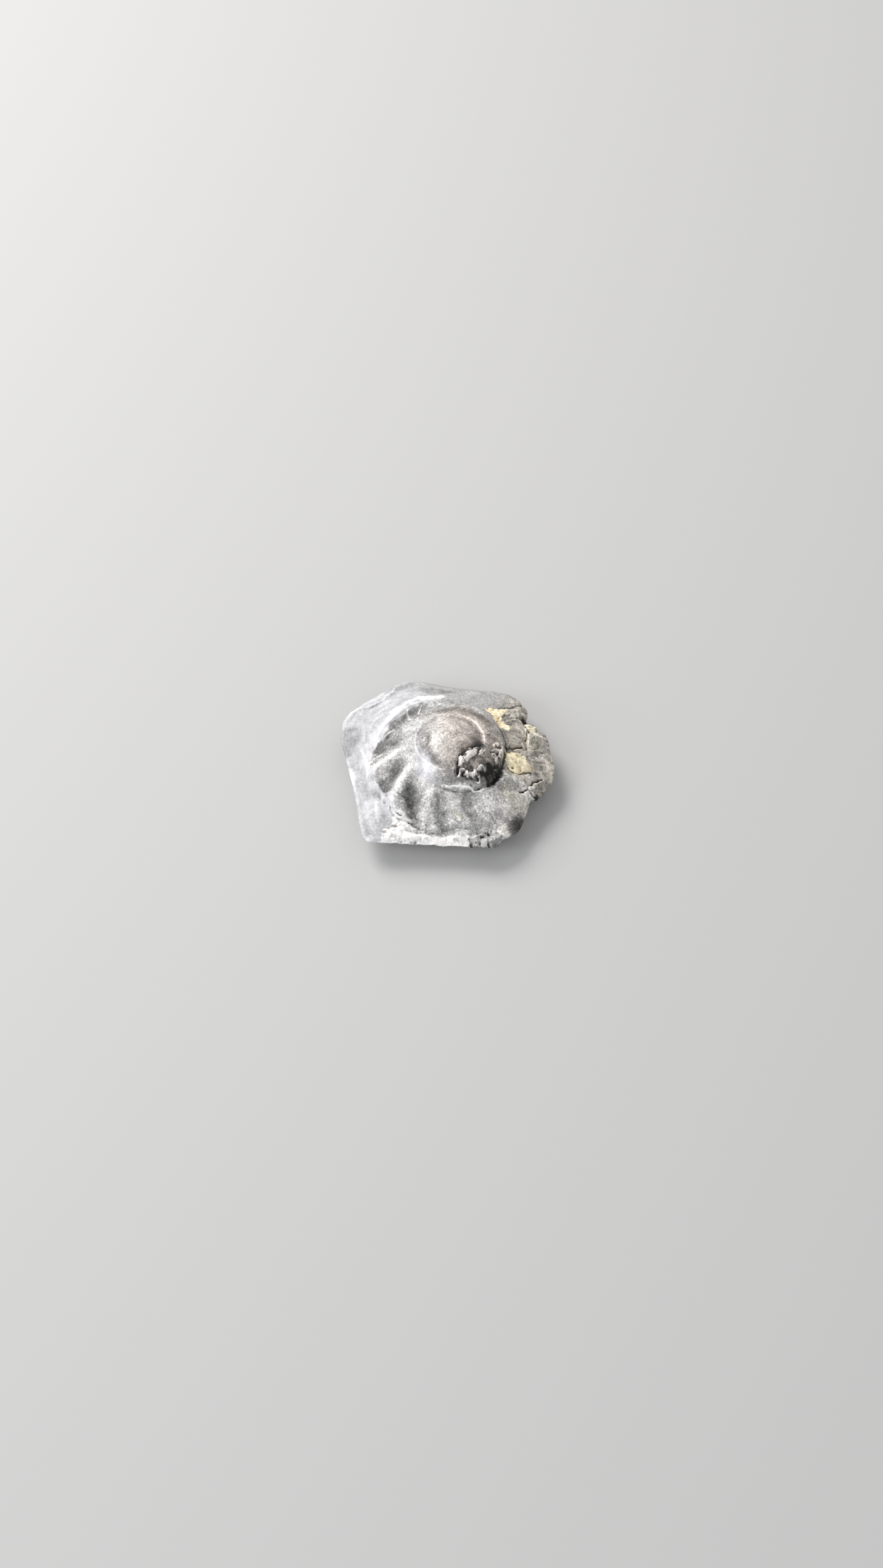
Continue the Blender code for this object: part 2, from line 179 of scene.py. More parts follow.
# Ridges and cracks along a line: points, half width, height
LINES = {
    "crescent ledge": (((-9.4, 9.6), (-7.3, 11.0), (-5.7, 12.0), (-3.4, 12.6), (-1.3, 12.2)), 0.7, 0.35),
    "crack behind": (((9.2, 11.0), (10.9, 11.3), (12.8, 12.9)), 0.35, -0.7),
    "upper bedding crack": (((9.5, 9.6), (11.0, 9.5), (12.6, 9.9)), 0.2, -0.12),
    "lower bedding crack": (((9.3, 8.5), (10.8, 8.7), (12.6, 8.9)), 0.2, -0.12),
    "last bedding crack": (((9.6, 7.3), (11.2, 7.9), (12.4, 8.6)), 0.25, -0.2),
    "crack right": (((9.4, 1.4), (11.2, 2.0), (12.4, 2.6)), 0.3, -0.45),
    "crack between blocks": (((13.1, 6.0), (13.1, 4.2), (13.2, 1.8)), 0.25, -0.25),
    "crack lower right": (((11.4, -6.6), (13.4, -5.5), (14.3, -4.4), (15.5, -3.5)), 0.3, -0.7),
    "lower crack": (((13.3, -5.8), (14.0, -6.7), (15.1, -5.9)), 0.25, -0.4),
    "clay undercut": (((9.3, -2.6), (10.4, -3.5), (11.6, -3.3), (13.4, -2.5)), 0.3, -0.5),
    "seam ledge": (((-1.3, -7.8), (0.8, -8.3), (2.0, -8.35), (3.7, -8.05), (5.6, -7.5)), 0.16, 0.12),
    "crack over the ledge": (((3.3, -7.85), (4.8, -7.4)), 0.2, -0.25),
    "front furrow": (((-10.0, -13.0), (-6.6, -13.9), (-2.0, -14.3), (3.0, -14.2), (6.6, -13.9)), 0.25, -0.15),
    "chunk crack": (((-9.8, -9.4), (-9.3, -10.1), (-8.2, -11.3)), 0.25, -0.35),
    "left crease": (((-11.3, 0.3), (-12.1, 0.0), (-13.3, -0.6), (-13.6, -1.6), (-13.6, -3.1)), 0.3, 0.16),
    "left tooth": (((-7.3, 9.7), (-6.6, 7.1)), 0.25, 0.16),
    "right tooth": (((-4.8, 10.1), (-5.2, 8.5)), 0.25, 0.16),
    "left flakes": (((-12.2, 3.5), (-11.5, 4.3), (-10.6, 5.1), (-9.8, 5.2)), 0.35, 0.25),
    "flank scarp": (((-17.6, 10.2), (-14.2, 12.0), (-11.8, 13.2), (-9.6, 15.4)), 0.7, 0.35),
    "cleft": (((1.2, -4.6), (1.45, -3.95), (2.05, -3.2), (2.8, -2.5), (3.6, -1.95), (4.3, -1.3),
        (5.4, -0.7)), 0.6, -0.55),
    "ring crumb": (((1.3, -6.9), (1.4, -6.3), (1.6, -5.8), (2.1, -5.35), (2.6, -5.5), (2.9, -6.0),
        (2.9, -6.6)), 0.3, 0.4),
    "pit's lip": (((5.1, -6.0), (5.1, -6.4), (4.9, -6.8), (4.3, -6.95)), 0.22, 0.3),
    "inner groove": (((-3.9, 1.4), (-3.8, 0.0), (-3.7, -1.9), (-3.0, -3.6), (-1.6, -5.0), (0.1, -6.1),
        (1.4, -6.4)), 0.9, -0.15),
}
# Which of them are white: how white, half width of the white
WHITE_LINES = (
    ("ring crumb", 0.9, 0.3), ("pit's lip", 0.6, 0.25), ("crescent ledge", 1.0, 1.1),
    ("flank scarp", 0.35, 0.4), ("left tooth", 0.5, 0.3), ("right tooth", 0.5, 0.3),
    ("left crease", 0.5, 0.4), ("left flakes", 0.5, 0.4), ("seam ledge", 1.0, 0.22),
)
# Lightness of the white; it is above 1 so that it stays white under the grain
WHITE_LIGHT = 1.12

# Yellow clay: the corners of each patch and how full it is, then the vein between two of them
CLAY_PATCHES = {
    "wedge by the whorl": (((6.2, 10.1), (9.6, 10.4), (9.0, 8.6), (8.6, 7.0), (10.2, 6.1), (9.9, 5.0),
        (8.3, 5.5), (7.4, 7.0)), 1.0),
    "lump at the right": (((9.1, -0.6), (9.9, 0.7), (10.9, 0.8), (12.2, 0.2), (14.0, -1.7), (12.6, -2.7),
        (10.8, -3.6), (9.2, -2.7)), 1.0),
    "knob on the rim": (((12.9, 8.0), (14.5, 8.0), (15.2, 6.7), (13.8, 6.0), (12.9, 6.8)), 0.6),
}
CLAY_EDGE = 0.5
CLAY_VEIN = ((12.8, 6.6), (12.9, 4.6), (12.6, 2.4), (11.0, 1.6))
# Corners of the chalk-white strip along the front, and where it turns rough towards the right
CHALK_STRIP = (
    (-11.4, -13.6), (-9.5, -13.2), (-6.7, -14.1), (-3.5, -14.7), (0.7, -15.0), (3.5, -14.8), (5.2, -14.0),
    (7.9, -13.8), (9.4, -15.1), (8.4, -17.4), (-2.7, -17.4), (-8.9, -17.2), (-12.4, -17.0), (-12.0, -15.4),
)
CHALK_EDGE = 0.4
ROUGH_CHALK_X = 2.8
# The shell's cast: the turns between which it runs on to the front edge, how far it goes past its seam there,
# and the turn from which it ends at a fixed radius
CAST_FRONT = (227.0, 334.0)
CAST_PAST_SEAM = 3.5
CAST_CUT_TURN = 338.0
CAST_CUT_RADIUS = 9.0
# Middle of each area's lightness, which is the square root of the share of light it gives back
CAST_LIGHT = 0.60
ROUGH_LIGHT = 0.80
FLANK_LIGHT = 0.68
BLOCK_LIGHT = 0.60
BACK_LIGHT = 0.62
CHALK_LIGHT = 0.97
UNDERSIDE_LIGHT = 0.55
# Lighter and darker bands round the coil: radius, half width, first turn, last turn, ease, change
BANDS = {
    "dust left of the ring": (7.5, 1.5, 115, 215, 30, 0.12),
    "dust behind the ring": (RING_RADIUS + 0.5, 0.9, 30, 120, 30, 0.02),
    "shade behind the ring": (7.8, 0.9, 40, 110, 20, -0.19),
    "shade right of the dome": (4.5, 1.1, -20, 50, 28, -0.04),
    "right side of the ring": (RING_RADIUS, 0.5, -5, 75, 20, 0.12),
}
# Lighter and darker patches that aren't raised: place, half length, half breadth, turn of the length, change
SHADES = {
    # Painted highlights: a broad one on the dome and a glint at its left
    "painted highlight on the dome": ((-1.0, 0.7), 3.6, 2.8, 35, 0.03),
    "dome's left glint": ((-2.3, -1.9), 1.8, 1.2, -60, 0.08),
    # Painted sheen on the pale dusting of the whorl's shoulder, at the lower left of the ring
    "dust and sheen on the shoulder": ((-4.2, -4.6), 4.6, 2.2, -55, 0.17),
    "brightest sheen and dust on the shoulder": ((-3.6, -5.2), 2.2, 0.8, -45, 0.08),
    # Painted shade in the gullies and painted highlight on the ribs, over the shell's own darker and paler
    # bands
    "dark gully": ((-8.7, -3.1), 2.6, 1.0, 48, -0.05),
    "gully behind the crease": ((-11.0, 1.4), 2.4, 1.3, 50, -0.02),
    "second rib": ((-8.0, -5.4), 3.2, 1.1, 52, 0.17),
    "third rib": ((-4.0, -9.8), 3.6, 1.1, 68, 0.25),
    "end of the gully": ((-6.9, -12.7), 1.8, 1.0, -35, 0.15),
    "dark speckled lip": ((1.4, -7.2), 3.6, 0.8, 4, -0.14),
    "dark patch in front": ((-1.6, -10.1), 1.2, 2.4, 0, -0.12),
    "second dark patch": ((3.0, -9.6), 2.0, 1.5, 20, -0.13),
    # Painted shade along the front right edge
    "painted shade on the front right edge": ((11.2, -12.3), 3.0, 2.0, 55, -0.32),
    "grey left corner": ((-17.2, 4.6), 4.6, 2.4, 80, -0.14),
    # Pale chips along the left rim, with painted highlight on them
    "pale chips and painted highlight on the left rim": ((-16.5, -2.4), 3.4, 0.6, 108, 0.12),
    "grey behind": ((-9.0, 15.6), 4.5, 1.5, 28, -0.12),
    "dark streaks behind": ((-2.2, 14.6), 5.0, 1.2, -6, -0.10),
    "bright lower flank": ((-13.6, -9.6), 5.0, 2.0, 98, 0.12),
    # Painted shade in the cleft above the hollow
    "cleft": ((3.2, -1.7), 3.0, 1.3, 36, -0.26),
    "left of the crumbs": ((1.2, -5.7), 1.2, 0.7, 80, -0.25),
    # Painted shade in the notch hole under the block behind
    "notch hole": ((12.7, 8.7), 1.2, 0.9, -50, -0.25),
    "light chunk": ((-8.9, -9.4), 3.4, 1.8, -50, 0.01),
    # Painted highlight along the raised chunk's upper rim
    "painted highlight on the chunk's rim": ((-8.4, -8.4), 2.6, 0.6, -32, 0.08),
    # Painted shade on the rounded block's face and painted highlights along its left and top edges
    "painted shade on the rounded block's face": ((15.2, 3.2), 2.6, 1.6, 80, -0.07),
    "painted highlight on the rounded block's left edge": ((13.5, 4.2), 2.2, 0.5, 85, 0.26),
    "painted highlight on the rounded block's top edge": ((15.3, 6.2), 2.0, 0.5, -20, 0.24),
    "edge of the right ridge": ((14.2, -4.9), 2.6, 0.5, 40, 0.16),
    "streak in front": ((5.0, -10.6), 4.4, 0.8, -48, 0.08),
    "dark streak in front": ((3.1, -12.0), 3.0, 0.8, -40, -0.12),
    "dark below the hollow": ((9.6, -5.8), 3.2, 1.7, 20, -0.20),
    "mottle in front": ((-1.3, -10.8), 1.5, 1.3, 30, -0.15),
    "second mottle in front": ((0.4, -12.6), 1.3, 0.7, -40, -0.10),
    "pale streak in front": ((2.6, -12.6), 2.6, 0.5, -50, 0.09),
    "pale right streak": ((7.4, -9.6), 2.6, 0.6, -45, 0.07),
    "dark right mottle": ((8.4, -11.6), 2.0, 1.0, -45, -0.15),
    "dark spot by the chalk": ((1.0, -13.6), 1.4, 0.6, 0, -0.12),
    "dark right streak": ((6.3, -11.6), 3.0, 0.6, -42, -0.13),
    "small block": ((13.3, -6.8), 1.6, 1.2, 20, 0.10),
    "right rim": ((17.2, -1.4), 4.2, 1.8, 95, 0.18),
    "block behind": ((11.4, 9.2), 2.8, 2.0, -10, 0.20),
    "right ridge": ((12.4, -4.4), 4.0, 1.8, 15, 0.10),
    # Painted highlights along the rims of the block behind and of the rounded block
    "painted highlight on the block behind's rim": ((13.9, 11.0), 2.0, 0.8, -80, 0.2),
    "painted highlight on the rounded block's rim": ((17.1, 3.0), 2.2, 0.7, 95, 0.15),
}
# Olive stains and one rust spot: place, half length, half breadth, turn of the length
OLIVE_PATCHES = (
    ((15.0, 3.6), 2.6, 1.6, 80), ((12.8, -8.8), 1.8, 1.2, 60), ((1.2, -12.2), 2.0, 0.7, -30),
    ((9.6, -3.9), 1.6, 0.8, 20), ((10.4, -8.0), 3.2, 1.6, -40),
)
RUST_SPOT = ((-11.0, -13.8), 0.45, 0.3, 0)
# How far broken edges wander from their straight lines: size of the waves, distance
WANDER = ((2.6, 0.5), (0.9, 0.18))
# Unevenness of the broken stone: size of the waves, height
GRAIN = ((5.0, 0.18), (2.0, 0.14), (0.9, 0.08), (0.45, 0.035))
UNDERSIDE_GRAIN = ((4.0, 0.45), (1.8, 0.2), (0.7, 0.08))

# The mesh. Ring k on the top has 6k points, and the last one lies at this share of the outline
TOP_RINGS = 160
TOP_SHARE = 0.985
# Rings under the rim: points, share of the way in to the base's edge, share of the belt
UNDERSIDE_RINGS = (
    (960, 0.0, 0.1), (960, 0.0, 0.4), (960, 0.005, 0.75), (960, 0.03, 1.0), (900, 0.08, 1.0),
    (840, 0.15, 1.0), (780, 0.24, 1.0), (720, 0.34, 1.0), (660, 0.45, 1.0), (600, 0.56, 1.0),
    (540, 0.67, 1.0), (480, 0.78, 1.0), (420, 0.89, 1.0), (360, 1.0, 1.0),
)
# Rings on the base: points, share of the base's radius
BASE_RINGS = ((240, 0.85), (150, 0.6), (84, 0.35), (30, 0.12))
# The edge below the rim takes its colours from the top at this share of its distance
EDGE_COLOUR_SHARE = 0.98


def smooth(t):
    """Eased step: 0 below 0, 1 above 1, and 3t^2 - 2t^3 between."""
    t = np.clip(t, 0.0, 1.0)
    return t * t * (3.0 - 2.0 * t)


def curve(table, column, at):
    """Smooth curve through a column of a table whose first column is the place: a cubic on each stretch."""
    rows = np.array(table, float)
    places, values = rows[:, 0], rows[:, column]
    slopes = np.gradient(values, places)
    i = np.clip(np.searchsorted(places, at) - 1, 0, len(places) - 2)
    width = places[i + 1] - places[i]
    t = np.clip((at - places[i]) / width, 0.0, 1.0)
    start = (1.0 + 2.0 * t) * (1.0 - t) ** 2 * values[i] + t * (1.0 - t) ** 2 * width * slopes[i]
    end = t * t * (3.0 - 2.0 * t) * values[i + 1] + t * t * (t - 1.0) * width * slopes[i + 1]
    return start + end


def polar(x, y):
    """Distance from the axis and turn of each place."""
    return np.hypot(x, y), np.degrees(np.arctan2(y, x)) % 360.0


def direction(turn):
    """A step of 1 towards a turn: how far it goes along x, and along y."""
    return np.cos(np.radians(turn)), np.sin(np.radians(turn))


def outline_radius(turn):
    """Distance from the axis to the outline: where the ray meets the side between two corners.

    It is the mean over five rays close together, which rounds the corners a little.
    """
    corners = np.array(OUTLINE)
    turns = np.degrees(np.arctan2(corners[:, 1], corners[:, 0])) % 360.0
    order = np.argsort(turns)
    corners = np.vstack([corners[order], corners[order[0]]])
    turns = np.append(turns[order], turns[order[0]] + 360.0)
    total = 0.0
    shifts = np.array((-1.0, -0.5, 0.0, 0.5, 1.0)) * CORNER_ROUNDING
    for shift in shifts:
        aim = (turn + shift - turns[0]) % 360.0 + turns[0]
        i = np.clip(np.searchsorted(turns, aim, side="right") - 1, 0, len(turns) - 2)
        a, b = corners[i], corners[i + 1]
        side = b - a
        way = np.stack(direction(aim), -1)
        total = total + (a[..., 0] * side[..., 1] - a[..., 1] * side[..., 0]) / (
            way[..., 0] * side[..., 1] - way[..., 1] * side[..., 0]
        )
    return total / len(shifts)


def noise(x, y, size, seed):
    """Uneven waves between -1 and 1: values fixed at the corners of a square lattice, eased between them.

    Each use of it has a seed of its own.
    """
    u, v = x / size + 17.3 * seed, y / size - 9.1 * seed
    i, j = np.floor(u), np.floor(v)
    s, t = smooth(u - i), smooth(v - j)

    def corner(a, b):
        value = np.sin(a * 127.1 + b * 311.7 + seed * 74.7) * 43758.5453
        return 2.0 * (value - np.floor(value)) - 1.0

    low = corner(i, j) * (1.0 - s) + corner(i + 1.0, j) * s
    high = corner(i, j + 1.0) * (1.0 - s) + corner(i + 1.0, j + 1.0) * s
    return low * (1.0 - t) + high * t


def waves(x, y, *rows):
    """Sum of noise of several sizes: each row gives the size of the waves, the seed and the strength."""
    return sum(strength * noise(x, y, size, seed) for size, seed, strength in rows)


def line_distance(x, y, points, closed=False):
    """Distance in plan to the nearest of the straight stretches between the points."""
    ends = points[1:] + points[:1] if closed else points[1:]
    nearest = np.full(np.shape(x), np.inf)
    for (ax, ay), (bx, by) in zip(points, ends):
        length = (bx - ax) ** 2 + (by - ay) ** 2
        t = np.clip(((x - ax) * (bx - ax) + (y - ay) * (by - ay)) / length, 0.0, 1.0)
        nearest = np.minimum(nearest, np.hypot(x - ax - t * (bx - ax), y - ay - t * (by - ay)))
    return nearest


def line(x, y, points, half_width):
    """1 on the line through the points, easing to 0 at its half width."""
    return 1.0 - smooth(line_distance(x, y, points) / half_width)


def plate(x, y, corners, edge):
    """1 inside the corners and 0 outside, with a soft edge of that width."""
    # A place is inside if a line from it to the right crosses an odd number of sides
    inside = np.zeros(np.shape(x), bool)
    for (ax, ay), (bx, by) in zip(corners, corners[1:] + corners[:1]):
        if ay != by:
            crossing = ax + (y - ay) / (by - ay) * (bx - ax)
            inside ^= ((ay > y) != (by > y)) & (x < crossing)
    distance = line_distance(x, y, corners, closed=True)
    return smooth(np.where(inside, distance, -distance) / edge + 0.5)


def lump(x, y, place, length, breadth, turn):
    """Rounded hump: 1 in its middle, falling as (1 - d^2)^1.5 to 0 at an ellipse's edge, where d is 1."""
    c, s = direction(turn)
    along = ((x - place[0]) * c + (y - place[1]) * s) / length
    across = ((y - place[1]) * c - (x - place[0]) * s) / breadth
    return np.clip(1.0 - along**2 - across**2, 0.0, 1.0) ** 1.5


def wander(x, y):
    """Plan places shifted by noise, so that edges drawn on them come out broken."""
    wx, wy = x, y
    for seed, (size, distance) in enumerate(WANDER):
        wx = wx + distance * noise(x, y, size, 11 + 30 * seed)
        wy = wy + distance * noise(x, y, size, 21 + 30 * seed)
    return wx, wy


def ragged(x, y):
    """Plan places shifted by fine noise, so that crumbs and pits drawn on them come out uneven."""
    shift_x = waves(x, y, (0.6, 87, 0.17), (0.32, 98, 0.12))
    shift_y = waves(x, y, (0.6, 88, 0.17), (0.32, 99, 0.12))
    return x + shift_x, y + shift_y


def rubble(x, y):
    """Where the hollow holds fine crumbs, and which of those places are crumbs: noise cut at a level."""
    zone = np.maximum.reduce([smooth(lump(x, y, *place) / 0.6) for place in RUBBLE])
    return zone, zone * smooth((noise(x, y, 0.5, 101) + 0.6 * noise(x, y, 0.28, 102) - 0.12) / 0.3)


def slanted(x, y):
    """Plan places turned by 37 degrees, so that noise cut at a level on them has no edges along x or y."""
    return 0.8 * x + 0.6 * y, 0.8 * y - 0.6 * x


def folds(r, turn, inner, outer):
    """Ribs and furrows across the last whorl: bell curves across lines that lean as they run outwards."""
    share = np.clip((r - inner) / (outer - inner), 0.0, 1.3)
    strength = smooth(share / 0.55) * (1.0 - smooth((share - 1.0) / 0.25))
    height = np.zeros(np.shape(r))
    for start, end, rise, half_width in FOLDS:
        crest = start + (end - start) * share
        across = np.radians(turn - crest) * r / half_width
        height += rise * np.exp(-across * across)
    return height * strength


def coil_height(r, turn):
    """Height along a ray: slopes between stops at the dome, ring, whorls, seams and rim, each with its bulge.

    The first slope falls with the square of the distance, so the dome is round on top. A bulge is 4t(1 - t).
    """
    rim = outline_radius(turn)
    upper = np.maximum(curve(SEAM, 1, turn), RING_RADIUS)
    upper_lip, upper_foot = curve(SEAM, 2, turn), curve(SEAM, 3, turn)
    lower = curve(SEAM, 1, turn + 360.0)
    lower_lip, lower_foot = curve(SEAM, 2, turn + 360.0), curve(SEAM, 3, turn + 360.0)
    upper_step = SEAM_WIDTH * smooth((upper_lip - upper_foot) / 0.3)
    lower_step = SEAM_WIDTH * (1.0 + smooth((lower_lip - lower_foot) / 1.5))
    # Each stop: distance from the axis, height, bulge of the slope that ends there
    stops = (
        (0.0 * r, APEX_HEIGHT, 0.0), (DOME_RADIUS, DOME_FOOT_HEIGHT, 0.0), (RING_RADIUS, RING_HEIGHT, -0.12),
        (upper, upper_lip, curve(BULGE, 1, turn)), (upper + upper_step, upper_foot, 0.0),
        (lower, lower_lip, curve(BULGE, 1, turn + 360.0)), (lower + lower_step, lower_foot, 0.0),
        (rim, curve(RIM_HEIGHT, 1, turn), 0.0),
    )
    height = np.full(np.shape(r), APEX_HEIGHT)
    for i in range(len(stops) - 1):
        near, far = stops[i], stops[i + 1]
        t = np.clip((r - near[0]) / np.maximum(far[0] - near[0], 1e-6), 0.0, 1.0)
        rise = t * t if i == 0 else t
        height = height + (far[1] - near[1]) * rise + far[2] * 4.0 * t * (1.0 - t)
    return height + folds(r, turn, upper, lower)


def yellow_clay(x, y):
    """Where yellow clay lies: three patches and the vein between two, with edges broken by fine noise."""
    wx, wy = wander(x, y)
    fills = [share * plate(wx, wy, corners, CLAY_EDGE) for corners, share in CLAY_PATCHES.values()]
    clay = np.maximum.reduce(fills + [0.7 * line(wx, wy, CLAY_VEIN, 0.35)])
    waver = waves(x, y, (0.7, 78, 0.3), (0.35, 79, 0.2)) * smooth(5.0 * clay)
    return smooth((clay + waver - 0.3) / 0.4)


def clay_lumps(x, y):
    """Relief of the clay, from -1 to 1: noise stretched along its furrows, with rounder noise over it."""
    furrows = noise(0.5 * x + 0.86 * y, 0.35 * (0.86 * x - 0.5 * y), 0.55, 65)
    return 0.5 * furrows + 0.5 * noise(x, y, 0.9, 69)


def broken_hollow(x, y):
    """Where the side of the dome and the upper whorl is broken open."""
    wx, wy = wander(x, y)
    return plate(wx, wy, PLATES["broken hollow"][0], PLATES["broken hollow"][2])


def chalk_edge(x, y):
    """The chalk-white broken strip along the front."""
    wx, wy = wander(x, y)
    u, v = slanted(x, y)
    return plate(wx, wy + waves(u, v, (0.9, 106, 0.2), (0.4, 108, 0.12)), CHALK_STRIP, CHALK_EDGE)


def rough_chalk(x, y):
    """Where the chalky strip turns grey and rugged: towards its right end, from a ragged border."""
    u, v = slanted(x, y)
    return smooth((x - ROUGH_CHALK_X + waves(u, v, (1.3, 109, 1.5), (0.5, 110, 0.8))) / 1.4)


def shell_cast(x, y):
    """The dark cast of the shell: all inside the last whorl's outer seam, and to the edge along the front."""
    r, turn = polar(*wander(x, y))
    start, end = CAST_FRONT
    to_the_front = smooth((turn - start) / 6.0) * (1.0 - smooth((turn - end) / 8.0))
    outer = curve(SEAM, 1, turn + 360.0) + CAST_PAST_SEAM * to_the_front
    outer = np.where(turn > CAST_CUT_TURN, CAST_CUT_RADIUS, outer)
    edge = 0.3 + 1.2 * smooth((112.0 - turn) / 20.0)
    return smooth((outer - r) / edge + 0.5)


def pocks(x, y):
    """Small pits of two sizes where noise is high."""
    return smooth((noise(x, y, 0.7, 63) - 0.45) / 0.4) + smooth((noise(x, y, 0.4, 64) - 0.5) / 0.35)


def hollow_relief(x, y):
    """Floor of the hollow: crumbs where one noise is high, holes where another is, and fine noise on both."""
    crumbs = smooth((noise(x, y, 0.55, 61) - 0.2) / 0.6)
    holes = smooth((noise(x, y, 0.8, 62) - 0.35) / 0.5)
    return 0.14 * crumbs - 0.25 * holes + 0.09 * noise(x, y, 0.4, 93)


def chalk_relief(x, y):
    """Humps and pits of the chalky strip, three to five times as strong at its rough end."""
    rough_end = rough_chalk(x, y)
    humps = (0.08 + 0.22 * rough_end) * noise(x, y, 1.0, 92) + 0.18 * rough_end * noise(x, y, 0.5, 107)
    return humps - (0.06 + 0.22 * rough_end) * pocks(x, y)


def block_relief(x, y):
    """Bedding of the blocks: slanting ledges that rise and drop, bent and faded by noise, with grain."""
    ledges = (0.9 * y + 0.25 * x + 1.6 * noise(x, y, 2.6, 66)) / 1.9 % 1.0
    fade = smooth((noise(x, y, 3.0, 60) + 0.5) / 0.6)
    return 0.08 * (smooth(ledges / 0.8) - 0.5) * fade + waves(x, y, (1.3, 67, 0.12), (0.6, 70, 0.08))


def fine_height(x, y):
    """Relief that is too fine for the tables, each kind on its own area.

    The ring has a lip and a groove inside it. The hollow has its floor and rubble. The chalk, the clay and
    the blocks have their own relief, the flank has streaks, and the last whorl has a rough crust at its left.
    """
    r, turn = polar(x, y)
    hollow, chalk, cast = broken_hollow(x, y), chalk_edge(x, y), shell_cast(x, y)
    right = smooth((x - 8.0) / 2.0) * (1.0 - cast)
    flank = (1.0 - cast) * (1.0 - right) * (1.0 - chalk)
    height = (0.06 * ring_line(x, y) - 0.12 * bell(r, RING_RADIUS - 0.55, 0.3)) * (1.0 - hollow)
    height += hollow * hollow_relief(x, y) + 0.24 * rubble(x, y)[1]
    height += chalk * chalk_relief(x, y) + right * block_relief(x, y) + 0.03 * flank * streaks(x, y)
    height += yellow_clay(x, y) * (0.45 * clay_lumps(x, y) + 0.12 * noise(x, y, 0.4, 86))
    height += rough_ground(r, turn) * cast * waves(x, y, (0.8, 74, 0.12), (0.4, 75, 0.06))
    crust = cast * smooth((r - 8.5) / 2.0) * between(turn, 95.0, 240.0, 15.0)
    return height + crust * waves(x, y, (0.9, 84, 0.10), (0.45, 85, 0.05))


def ring_line(x, y):
    """The fine lip of the ring: a bell curve across it, broken along its length where noise is low."""
    r, _ = polar(x + 0.08 * noise(x, y, 1.1, 94), y + 0.08 * noise(x, y, 1.1, 95))
    return bell(r, RING_RADIUS + 0.05, 0.16) * smooth((noise(x, y, 1.6, 96) + 0.5) / 0.9)


def rough_ground(r, turn):
    """The rubbly strip between the last whorl and the chalk, along the front."""
    return smooth((r - curve(SEAM, 1, turn + 360.0) + 0.3) / 0.6) * between(turn, 226.0, 300.0, 6.0)


def streaks(x, y):
    """Fine streaks that run along the rim: noise stretched along it."""
    r, turn = polar(x, y)
    inward = outline_radius(turn) - r
    along = 0.14 * np.radians(turn) * MEAN_RADIUS
    return 0.6 * noise(inward, along, 0.55, 68) + 0.4 * noise(inward, 1.6 * along, 0.28, 73)


def top_height(x, y):
    """Height of the top: the coil, then its plates, lumps, lines, grain and fine relief, then the rim."""
    r, turn = polar(x, y)
    wx, wy = wander(x, y)
    height = coil_height(r, turn)
    for corners, rise, edge in PLATES.values():
        height = height + rise * plate(wx, wy, corners, edge)
    ragged_x, ragged_y = ragged(x, y)
    for place, length, breadth, tilt, rise in LUMPS.values():
        height = height + rise * lump(ragged_x, ragged_y, place, length, breadth, tilt)
    uneven = np.clip(0.8 + 0.7 * noise(x, y, 0.9, 97), 0.2, 1.2)
    for points, half_width, rise in LINES.values():
        height = height + rise * uneven * line(wx, wy, points, half_width)
    outside = smooth((r - RING_RADIUS) / 3.0)
    for seed, (size, rise) in enumerate(GRAIN):
        height = height + rise * noise(x, y, size, seed + 1) * (0.3 + 0.7 * outside)
    height = height + fine_height(x, y)
    near_rim = smooth(1.0 - (outline_radius(turn) - r) / curve(RIM_ROLL, 1, turn))
    return height - RIM_DROP * near_rim**2


def base_radius(turn):
    """The flat base's edge: a share of the outline eased towards a circle, and wandering in and out."""
    c, s = direction(turn)
    shift = BASE_WANDER * noise(MEAN_RADIUS * c, MEAN_RADIUS * s, 7.0, 31)
    return BASE_SHARE * (MEAN_RADIUS + outline_radius(turn)) / 2.0 + shift


def top_points():
    """Points of the top: the axis, then rings, round at first, that take the outline's shape outwards."""
    ring = np.repeat(np.arange(1, TOP_RINGS + 1), 6 * np.arange(1, TOP_RINGS + 1))
    first = 3 * ring * (ring - 1)
    turn = 60.0 * (np.arange(len(ring)) - first) / ring
    share = TOP_SHARE * ring / TOP_RINGS
    blend = smooth((share - 0.4) / 0.6)
    r = share * (MEAN_RADIUS * (1.0 - blend) + outline_radius(turn) * blend)
    c, s = direction(turn)
    x, y = np.append(0.0, r * c), np.append(0.0, r * s)
    return np.stack([x, y, top_height(x, y)], -1), [1] + [6 * k for k in range(1, TOP_RINGS + 1)]


def under_points():
    """Points of the edge and underside: from the rim down the belt, then in and down to the base's edge.

    Noise bulges the underside, most of all halfway in: its strength follows a sine of the way.
    """
    rings, counts = [], []
    for count, inward, down in UNDERSIDE_RINGS:
        turn = np.arange(count) * 360.0 / count
        rim = outline_radius(turn)
        c, s = direction(turn)
        r = rim * (1.0 - inward) + base_radius(turn) * inward
        rim_height = top_height(TOP_SHARE * rim * c, TOP_SHARE * rim * s)
        height = (rim_height - down * curve(BELT, 1, turn)) * (1.0 - inward) ** UNDERSIDE_BULGE
        for seed, (size, rise) in enumerate(UNDERSIDE_GRAIN):
            height = height + rise * np.sin(np.pi * inward) * noise(r * c, r * s, size, seed + 41)
        rings.append(np.stack([r * c, r * s, np.maximum(height, 0.0)], -1))
        counts.append(count)
    for count, share in BASE_RINGS:
        turn = np.arange(count) * 360.0 / count
        r = base_radius(turn) * share
        c, s = direction(turn)
        rings.append(np.stack([r * c, r * s, 0.0 * r], -1))
        counts.append(count)
    rings.append(np.zeros((1, 3)))
    return np.vstack(rings), counts + [1]


